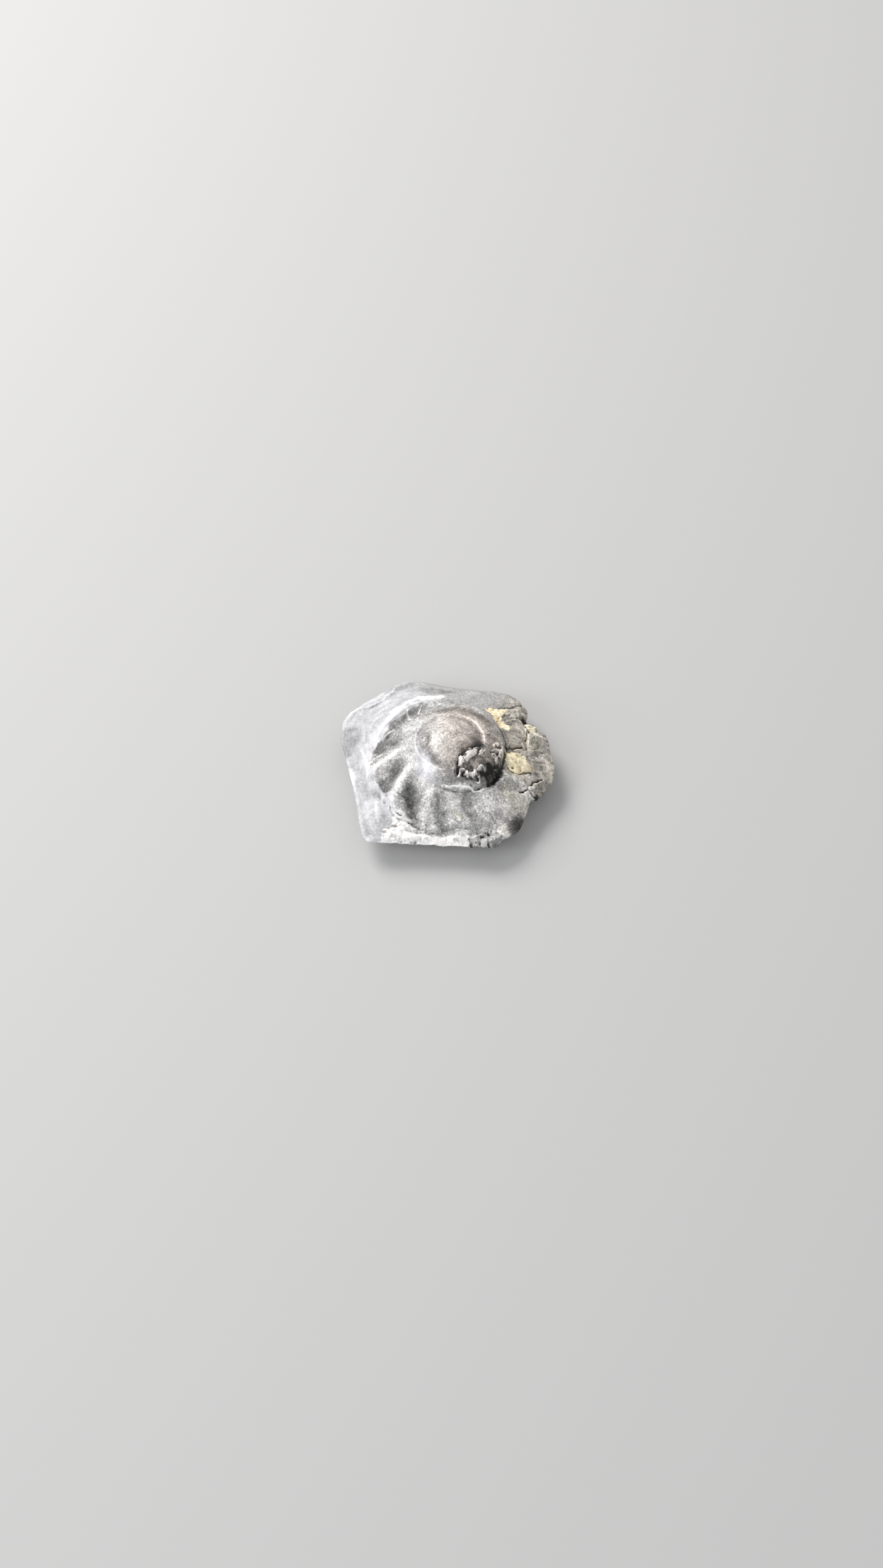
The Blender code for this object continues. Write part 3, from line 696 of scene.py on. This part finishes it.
def stitch(first, first_count, second, second_count):
    """Triangles between two rings of evenly spaced points: each edge is joined to the point it faces."""
    a_middle = (np.arange(first_count) + 0.5) / first_count
    b_middle = (np.arange(second_count) + 0.5) / second_count
    a, b = np.arange(first_count), np.arange(second_count)
    across_a = np.searchsorted(b_middle, a_middle, side="left") % second_count
    across_b = np.searchsorted(a_middle, b_middle, side="right") % first_count
    on_a = np.stack([first + a, second + across_a, first + (a + 1) % first_count], -1)
    on_b = np.stack([first + across_b, second + b, second + (b + 1) % second_count], -1)
    return np.vstack([on_a, on_b])


def between(turn, start, end, ease):
    """1 for turns from start, which may be below 0, to end, easing to 0 over that many degrees outside."""
    middle = (start + end) / 2.0
    turn = (turn - middle + 180.0) % 360.0 + middle - 180.0
    return smooth((turn - start) / ease + 1.0) * smooth((end - turn) / ease + 1.0)


def bell(value, middle, width):
    """Bell curve: exp(-((value - middle) / width)^2)."""
    return np.exp(-(((value - middle) / width) ** 2))


def sunk(x, y, height, reach):
    """How far each place lies below the mean of six places around it; below 0 where it stands proud."""
    c, s = direction(np.arange(6) * 60.0)
    around = sum(top_height(x + reach * c[k], y + reach * s[k]) for k in range(6)) / 6
    return around - height


def cast_lightness(x, y):
    """How light the cast is: lighter on its ribs and darker in its furrows, partly the shell's own colour and
    partly painted highlight and shade of the relief, then the bands, then noise.

    Each band is a bell curve across the radius, cut to its turns. The whorl is also dark just inside its seam
    at the left and in the inner groove. It is paler at the front right, on the dome and on the rough ground.
    """
    r, turn = polar(x, y)
    outer = curve(SEAM, 1, turn + 360.0)
    ribs = folds(r, turn, np.maximum(curve(SEAM, 1, turn), RING_RADIUS), outer)
    # Painted highlight on the ribs and painted shade in the furrows, over the shell's own paler and darker
    # bands
    light = CAST_LIGHT + 0.34 * np.clip(ribs, 0.0, 1.0) - 0.30 * np.clip(-ribs, 0.0, 1.0)
    for radius, half_width, start, end, ease, change in BANDS.values():
        light += change * bell(r, radius, half_width) * between(turn, start, end, ease)
    light -= 0.27 * bell(r, outer - 1.15, 1.15) * between(turn, 120.0, 158.0, 12.0)
    light -= 0.15 * line(x, y, LINES["inner groove"][0], 1.1) * (0.6 + 0.8 * noise(x, y, 0.7, 111))
    light += 0.08 * smooth((r - 9.0) / 2.0) * between(turn, 262.0, 345.0, 16.0)
    light += 0.13 * smooth(4.8 - r)
    light += (ROUGH_LIGHT - light) * rough_ground(r, turn)
    return light + waves(x, y, (2.4, 71, 0.06), (1.0, 72, 0.08), (0.5, 80, 0.06))


def area_shares(x, y):
    """How much of each place is chalk, cast, flank, blocks at the right, or the rest of the back."""
    turn = polar(x, y)[1]
    chalk = chalk_edge(x, y)
    cast = shell_cast(x, y) * (1.0 - chalk)
    outside = (1.0 - cast) * (1.0 - chalk)
    flank = outside * between(turn, 116.0, 256.0, 20.0)
    right = outside * between(turn, -40.0, 44.0, 20.0)
    return chalk, cast, flank, right, outside - np.minimum(flank + right, outside)


def area_lightness(x, y, shares):
    """How light each area is by itself: its middle value with its own noise, added up by the areas' shares.

    The flank has streaks and is paler just outside the seam, the chalk is darker in its pits and at its rough
    end, and the blocks have pale veins where a noise crosses 0 and dark specks where another is high.
    """
    chalk, cast, flank, right, back = shares
    turn = polar(x, y)[1]
    outside_seam = bell(polar(*wander(x, y))[0], curve(SEAM, 1, turn + 360.0) + 0.7, 1.0)
    flank_light = FLANK_LIGHT + 0.07 * streaks(x, y) + 0.10 * outside_seam
    flank_light += waves(x, y, (3.2, 112, 0.05), (1.1, 113, 0.04))
    u, v = slanted(x, y)
    chalk_light = CHALK_LIGHT - 0.37 * rough_chalk(x, y) - 0.22 * pocks(x, y)
    chalk_light += waves(u, v, (1.4, 116, 0.10), (0.5, 117, 0.08))
    veins = bell(noise(x, y, 2.0, 76), 0.0, 0.09) * smooth((noise(x, y, 3.0, 81) + 0.2) / 0.4)
    specks = smooth((noise(x, y, 0.6, 77) - 0.35) / 0.3)
    block_light = BLOCK_LIGHT + 0.16 * (veins - specks) + waves(x, y, (1.2, 82, 0.08), (0.6, 89, 0.05))
    back_light = BACK_LIGHT + 0.04 * streaks(x, y)
    light = cast * cast_lightness(x, y) + flank * flank_light + right * block_light
    return light + back * back_light + chalk * chalk_light


def white_share(x, y):
    """How much white lies on each place: on crumbs, on ledges, teeth and creases, and on the ring's lip."""
    wx, wy = wander(x, y)
    ragged_x, ragged_y = ragged(x, y)
    crumbs = [
        share * smooth(lump(ragged_x, ragged_y, *LUMPS[name][:4]) / 0.4) for name, share in WHITE_CRUMBS
    ]
    edges = [share * line(wx, wy, LINES[name][0], half_width) for name, share, half_width in WHITE_LINES]
    return np.maximum.reduce(crumbs + edges + [0.30 * ring_line(x, y) * (1.0 - broken_hollow(x, y))])


def stone_lightness(x, y, height, shares, white):
    """How light each place is: its areas by themselves, what lies on them, painted light and shade from its
    relief, and last the white.

    On the areas lie the patches, some of them painted highlight and shade, the painted shade in the darkest
    part of the hollow, the clay, the hollow's floor, a pale line along the upper seam that is partly white
    and partly painted highlight, a painted highlight along the flank's rim, and the rubble. Places that stand
    proud get painted highlight, and sunk ones painted shade.
    """
    chalk, cast, flank, _, _ = shares
    r, turn = polar(x, y)
    wx, wy = wander(x, y)
    light = area_lightness(x, y, shares)
    uneven = np.clip(0.85 + 0.6 * noise(x, y, 1.4, 83), 0.0, 1.3) * (1.0 - 0.7 * chalk)
    for place, length, breadth, tilt, change in SHADES.values():
        light += change * uneven * smooth(lump(wx, wy, place, length, breadth, tilt) / 0.7)
    # Painted shade, broken by noise, that darkens the deepest part of the hollow
    black = lump(wx, wy, *HOLLOW_PAINTED_SHADE) * (1.0 + waves(x, y, (0.8, 103, 0.7), (0.4, 104, 0.6)))
    light *= 1.0 - 0.78 * smooth(black / 0.9)
    light -= 0.10 * line(wx, wy, LINES["front furrow"][0], 0.9) * cast
    # Painted highlight on the clay's lumps and painted shade in its furrows
    light += yellow_clay(x, y) * (0.13 + 0.22 * clay_lumps(x, y))
    light += broken_hollow(x, y) * (waves(x, y, (0.45, 90, 0.10), (0.9, 91, 0.08)) - 0.17)
    # A pale line on the lip along the upper seam at the right, partly white and partly painted highlight
    light += 0.22 * bell(r, curve(SEAM, 1, turn), 0.16) * between(turn, -2.0, 60.0, 12.0)
    # Painted highlight along the flank's rim
    light += 0.12 * flank * bell(r, outline_radius(turn) - 0.15, 0.25)
    zone, crumbs = rubble(x, y)
    light += 0.42 * crumbs - 0.08 * zone * (1.0 - crumbs)
    # Painted highlight where a place stands proud and painted shade where it is sunk, at a near and a far
    # reach
    near, far = sunk(x, y, height, 0.3), sunk(x, y, height, 0.9)
    light += 0.10 * smooth((-near - 0.02) / 0.16) * (1.0 - white)
    light *= 1.0 - 0.6 * smooth((near - 0.03) / 0.25) * (1.0 - 0.4 * chalk)
    light *= 1.0 - 0.35 * smooth((far - 0.15) / 0.7)
    return light + (WHITE_LIGHT - light) * white * np.clip(0.85 + 0.6 * noise(x, y, 0.4, 105), 0.3, 1.0)


def finish_areas(x, y, height):
    """What the stone's colours are mixed from, at every point: its lightness, its speckle and its tints."""
    shares = area_shares(x, y)
    chalk, cast, flank, right, back = shares
    r = polar(x, y)[0]
    wx, wy = wander(x, y)
    white = white_share(x, y)
    light = stone_lightness(x, y, height, shares, white)
    # The shoulder's pale dusting with painted sheen on it: less speckle, a bluish tint and a smoother finish
    shoulder_dust_and_sheen = lump(x, y, *SHADES["dust and sheen on the shoulder"][:4])
    cast_speckle = 0.55 + 0.35 * smooth((light - 0.4) / 0.25)
    speckle = cast * cast_speckle + 0.3 * flank + 0.75 * right + 0.4 * back + 0.6 * chalk
    towards_right = np.clip(0.35 + (x + 3.0) / 7.0, 0.0, 1.0)
    warm = cast * smooth((9.6 - r) / 1.5) * smooth((y + 7.5) / 2.5) * towards_right
    brown_whorl = 0.4 * smooth((x - 6.0) / 4.0) * smooth((9.0 - y) / 4.0)
    olive = np.maximum.reduce([smooth(lump(wx, wy, *place) / 0.5) for place in OLIVE_PATCHES])
    return {
        "lightness": light,
        "speckle": speckle * (1.0 - 0.6 * shoulder_dust_and_sheen) * (1.0 - 0.5 * white),
        "warm": warm * (1.0 - 0.7 * white),
        "flank": flank,
        "brown": np.maximum(right, brown_whorl) * (1.0 - chalk),
        "olive": olive * (1.0 - chalk),
        "clay": yellow_clay(x, y),
        "shoulder_dust_and_sheen": shoulder_dust_and_sheen,
        "rust": smooth(2.0 * lump(*ragged(x, y), *RUST_SPOT)),
    }


def link(piece):
    bpy.context.scene.collection.objects.link(piece)


def add_mesh(name, points, triangles, areas):
    """One mesh object at the origin, from points in metres, triangles, and every point's colour values."""
    mesh = bpy.data.meshes.new(name)
    mesh.vertices.add(len(points))
    mesh.vertices.foreach_set("co", points.astype(np.float32).ravel())
    mesh.loops.add(3 * len(triangles))
    mesh.loops.foreach_set("vertex_index", triangles.astype(np.int32).ravel())
    mesh.polygons.add(len(triangles))
    mesh.polygons.foreach_set("loop_start", np.arange(0, 3 * len(triangles), 3, dtype=np.int32))
    mesh.update(calc_edges=True)
    mesh.validate()
    mesh.shade_smooth()
    for area, share in areas.items():
        attribute = mesh.attributes.new(area, "FLOAT", "POINT")
        attribute.data.foreach_set("value", share.astype(np.float32))
    piece = bpy.data.objects.new(name, mesh)
    link(piece)
    return piece


def make_stone():
    """The whole stone: the top, the edge and the underside, joined ring to ring into one closed surface."""
    top, top_counts = top_points()
    under, under_counts = under_points()
    counts = top_counts + under_counts
    starts = np.cumsum([0] + counts)
    triangles = np.vstack([
        stitch(starts[i], counts[i], starts[i + 1], counts[i + 1]) for i in range(len(counts) - 1)
    ])
    a, b, c = triangles.T
    triangles = triangles[(a != b) & (b != c) & (a != c)]
    areas = finish_areas(*top.T)
    edge_x, edge_y = EDGE_COLOUR_SHARE * under[:, 0], EDGE_COLOUR_SHARE * under[:, 1]
    rim_shade = finish_areas(edge_x, edge_y, top_height(edge_x, edge_y))
    # 1 on the edge that is seen from above, easing to 0 down the underside and towards the base
    on_edge = smooth((under[:, 2] - 1.2) / 1.6) * smooth((np.hypot(under[:, 0], under[:, 1]) - 12.5) / 2.0)
    below = {area: share * on_edge for area, share in rim_shade.items()}
    mottled = UNDERSIDE_LIGHT + waves(edge_x, edge_y, (5.0, 114, 0.08), (1.8, 115, 0.06))
    below["lightness"] += mottled * (1.0 - on_edge)
    below["speckle"] += 0.6 * (1.0 - on_edge)
    areas = {area: np.append(areas[area], below[area]) for area in areas}
    points = np.clip((np.vstack([top, under]) + (AXIS_X, AXIS_Y, 0.0)) * MILLIMETRE, *CAD_BOX)
    return add_mesh("stone_with_shell", points, triangles, areas)


class Number:
    """A number that varies over a surface: a shader socket with arithmetic."""

    def __init__(self, maker, socket):
        self.maker = maker
        self.socket = socket

    def __add__(self, other):
        return self.maker.math("ADD", self, other)

    def __sub__(self, other):
        return self.maker.math("SUBTRACT", self, other)

    def __rsub__(self, other):
        return self.maker.math("SUBTRACT", other, self)

    def __mul__(self, other):
        return self.maker.math("MULTIPLY", self, other)


class Maker:
    """Adds the nodes of one material."""

    def __init__(self, name):
        self.material = bpy.data.materials.new(name)
        self.material.use_nodes = True
        self.tree = self.material.node_tree
        self.shader = self.tree.nodes["Principled BSDF"]

    def feed(self, socket, value):
        if isinstance(value, Number):
            value = value.socket
        if isinstance(value, bpy.types.NodeSocket):
            self.tree.links.new(value, socket)
        else:
            socket.default_value = value

    def node(self, kind, settings, inputs):
        made = self.tree.nodes.new(kind)
        for key, value in settings.items():
            setattr(made, key, value)
        for key, value in inputs.items():
            self.feed(made.inputs[key], value)
        return made

    def math(self, operation, *values):
        made = self.node("ShaderNodeMath", {"operation": operation}, dict(enumerate(values)))
        return Number(self, made.outputs[0])

    def step(self, value, low, high):
        """0 below low, 1 above high, eased between."""
        settings = {"interpolation_type": "SMOOTHSTEP"}
        inputs = {"Value": value, "From Min": low, "From Max": high}
        return Number(self, self.node("ShaderNodeMapRange", settings, inputs).outputs["Result"])

    def mix(self, first, second, share):
        """A colour between two, by share."""
        settings = {"data_type": "RGBA", "clamp_factor": True}
        return self.node("ShaderNodeMix", settings, {0: share, 6: first, 7: second}).outputs[2]

    def noise(self, where, waves_per_metre, detail, roughness=0.55, distortion=0.0):
        inputs = {
            "Vector": where, "Scale": waves_per_metre, "Detail": detail, "Roughness": roughness,
            "Distortion": distortion,
        }
        return Number(self, self.node("ShaderNodeTexNoise", {}, inputs).outputs["Fac"])

    def area(self, name):
        return Number(self, self.node("ShaderNodeAttribute", {"attribute_name": name}, {}).outputs["Fac"])


def colour(red, green, blue):
    return (red, green, blue, 1.0)


# Tints of the stone's areas, then the colours that are laid on it
CAST_TINT = colour(1.0, 0.985, 0.975)
FLANK_TINT = colour(0.965, 0.968, 1.0)
DOME_TINT = colour(1.0, 0.89, 0.81)
BROWN_TINT = colour(1.0, 0.92, 0.81)
OLIVE_TINT = colour(0.98, 0.96, 0.74)
DUST_AND_SHEEN_TINT = colour(0.96, 0.95, 1.0)
BLACK = colour(0.0, 0.0, 0.0)
DARK_CLAY = colour(0.66, 0.50, 0.27)
PALE_CLAY = colour(1.0, 0.90, 0.65)
RUST = colour(0.24, 0.14, 0.11)
DARKEST_TONE = 0.04
BUMP_DEPTH = 0.0001


def stone_material():
    """Grey limestone: dark crystal-dusted cast, pale flank, brown-grey blocks, yellow clay and a chalky edge.

    The tone is the point's lightness with grain added by its speckle. The colour's strength is its square.
    """
    m = Maker("fossil_stone")
    where = m.node("ShaderNodeTexCoord", {}, {}).outputs["Object"]
    clouds = m.noise(where, 180.0, 3.0)
    blotches = m.noise(where, 700.0, 3.0)
    grit = m.noise(where, 2400.0, 3.0, 0.65)
    specks = m.noise(where, 5000.0, 2.0, 0.6)
    flecks = m.step(m.noise(where, 3000.0, 3.0, 0.65, 0.35), 0.50, 0.66)
    pits = m.step(m.noise(where, 2100.0, 3.0, 0.65, 0.4), 0.53, 0.70)
    scuffs = 1.0 - m.step(m.math("ABSOLUTE", m.noise(where, 950.0, 3.0, 0.6, 0.5) - 0.5), 0.0, 0.035)
    speckle, warm, flank, brown = m.area("speckle"), m.area("warm"), m.area("flank"), m.area("brown")
    clay, shoulder_dust_and_sheen, rust, olive = m.area("clay"), m.area("shoulder_dust_and_sheen"), m.area("rust"), m.area("olive")

    grain = (grit - 0.5) * 0.5 + (specks - 0.5) * 0.4 + flecks * 0.26 - pits * 0.20
    tone = m.area("lightness") + grain * speckle
    tone = tone + (blotches - 0.5) * 0.24 * speckle + (clouds - 0.5) * 0.12 + scuffs * flank * 0.05
    tone = m.math("MAXIMUM", tone, DARKEST_TONE)
    light = tone * tone
    tint = m.mix(CAST_TINT, FLANK_TINT, flank)
    tint = m.mix(tint, DOME_TINT, warm)
    tint = m.mix(tint, BROWN_TINT, brown * 0.9)
    tint = m.mix(tint, OLIVE_TINT, olive * 0.4)
    # Bluish white of the shoulder's dusting and of the painted sheen on it
    tint = m.mix(tint, DUST_AND_SHEEN_TINT, shoulder_dust_and_sheen)
    stone = m.mix(BLACK, tint, light)
    # The clay's paler colour follows the tone and it falls to black with it, so it carries the painted
    # highlight and shade
    pale_share = m.step(grit * 0.5 + tone * 0.6, 0.44, 0.74)
    yellow = m.mix(DARK_CLAY, PALE_CLAY, pale_share)
    yellow = m.mix(BLACK, yellow, m.step(tone, 0.05, 0.56))
    stone = m.mix(stone, yellow, m.step(clay + (grit - 0.5) * 0.9, 0.22, 0.78) * 0.9)
    stone = m.mix(stone, RUST, rust * 0.75)

    bump_height = grit * 0.5 + specks * 0.3 + blotches * 0.4 + (flecks - pits) * speckle * 0.25
    bump = m.node("ShaderNodeBump", {}, {"Strength": 0.6, "Distance": BUMP_DEPTH, "Height": bump_height})
    m.feed(m.shader.inputs["Base Color"], stone)
    m.feed(m.shader.inputs["Roughness"], 0.84 - warm * 0.22 - shoulder_dust_and_sheen * 0.25 + (grit - 0.5) * 0.2)
    m.feed(m.shader.inputs["Normal"], bump.outputs["Normal"])
    return m.material


def make_floor():
    """A plain pale floor, which isn't part of the object."""
    half = 1.5
    mesh = bpy.data.meshes.new("floor")
    corners = [(-half, -half, 0.0), (half, -half, 0.0), (half, half, 0.0), (-half, half, 0.0)]
    mesh.from_pydata(corners, [], [(0, 1, 2, 3)])
    m = Maker("floor")
    m.feed(m.shader.inputs["Base Color"], colour(0.50, 0.50, 0.50))
    m.feed(m.shader.inputs["Roughness"], 0.7)
    mesh.materials.append(m.material)
    floor = bpy.data.objects.new("floor", mesh)
    link(floor)


# The photograph's view: a 50 mm lens looks down at the stone, and the ring's middle is at this place in it
PICTURE_WIDTH = 1400
PICTURE_HEIGHT = 2487
RING_PIXEL_X = 713.5
RING_PIXEL_Y = 1175.8
LENS_MM = 50.0
FILM_MM = 36.0
VIEW_ELEVATION = math.radians(55.0)
VIEW_DISTANCE = 0.366


def make_camera():
    pixels = LENS_MM / FILM_MM * PICTURE_HEIGHT
    forward = Vector((0.0, math.cos(VIEW_ELEVATION), -math.sin(VIEW_ELEVATION)))
    upward = Vector((0.0, math.sin(VIEW_ELEVATION), math.cos(VIEW_ELEVATION)))
    right = Vector((1.0, 0.0, 0.0))
    aside = (RING_PIXEL_X - PICTURE_WIDTH / 2.0) / pixels
    above = (PICTURE_HEIGHT / 2.0 - RING_PIXEL_Y) / pixels
    ring = Vector((AXIS_X, AXIS_Y, RING_HEIGHT)) * MILLIMETRE
    data = bpy.data.cameras.new("camera")
    data.lens = LENS_MM
    data.sensor_fit = "VERTICAL"
    data.sensor_height = FILM_MM
    data.clip_start = 0.01
    camera = bpy.data.objects.new("camera", data)
    camera.location = ring - VIEW_DISTANCE * (forward + aside * right + above * upward)
    camera.rotation_euler = (math.pi / 2.0 - VIEW_ELEVATION, 0.0, 0.0)
    link(camera)
    bpy.context.scene.camera = camera


def add_light(name, place, size, watts, tint):
    """A square soft light at a place, aimed at the stone."""
    data = bpy.data.lights.new(name, "AREA")
    data.size = size
    data.energy = watts
    data.color = tint
    light = bpy.data.objects.new(name, data)
    light.location = place
    light.rotation_euler = (-Vector(place)).to_track_quat("-Z", "Y").to_euler()
    link(light)


def make_light():
    """Soft studio light: a large source behind at the left, a weak bluish one at the left, and pale walls."""
    add_light("back window", place=(-0.36, 0.40, 0.50), size=0.40, watts=4.6, tint=(1.0, 0.98, 0.95))
    add_light("left window", place=(-0.50, -0.25, 0.35), size=0.30, watts=1.4, tint=(0.97, 0.98, 1.0))
    world = bpy.data.worlds.new("room")
    world.use_nodes = True
    background = world.node_tree.nodes["Background"]
    background.inputs["Color"].default_value = colour(0.985, 0.99, 1.0)
    background.inputs["Strength"].default_value = 0.60
    bpy.context.scene.world = world
    bpy.context.scene.view_settings.view_transform = "Standard"


stone = make_stone()
stone.data.materials.append(stone_material())
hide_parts(STONE_NODE)
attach(stone, "root")
make_floor()
make_camera()
make_light()
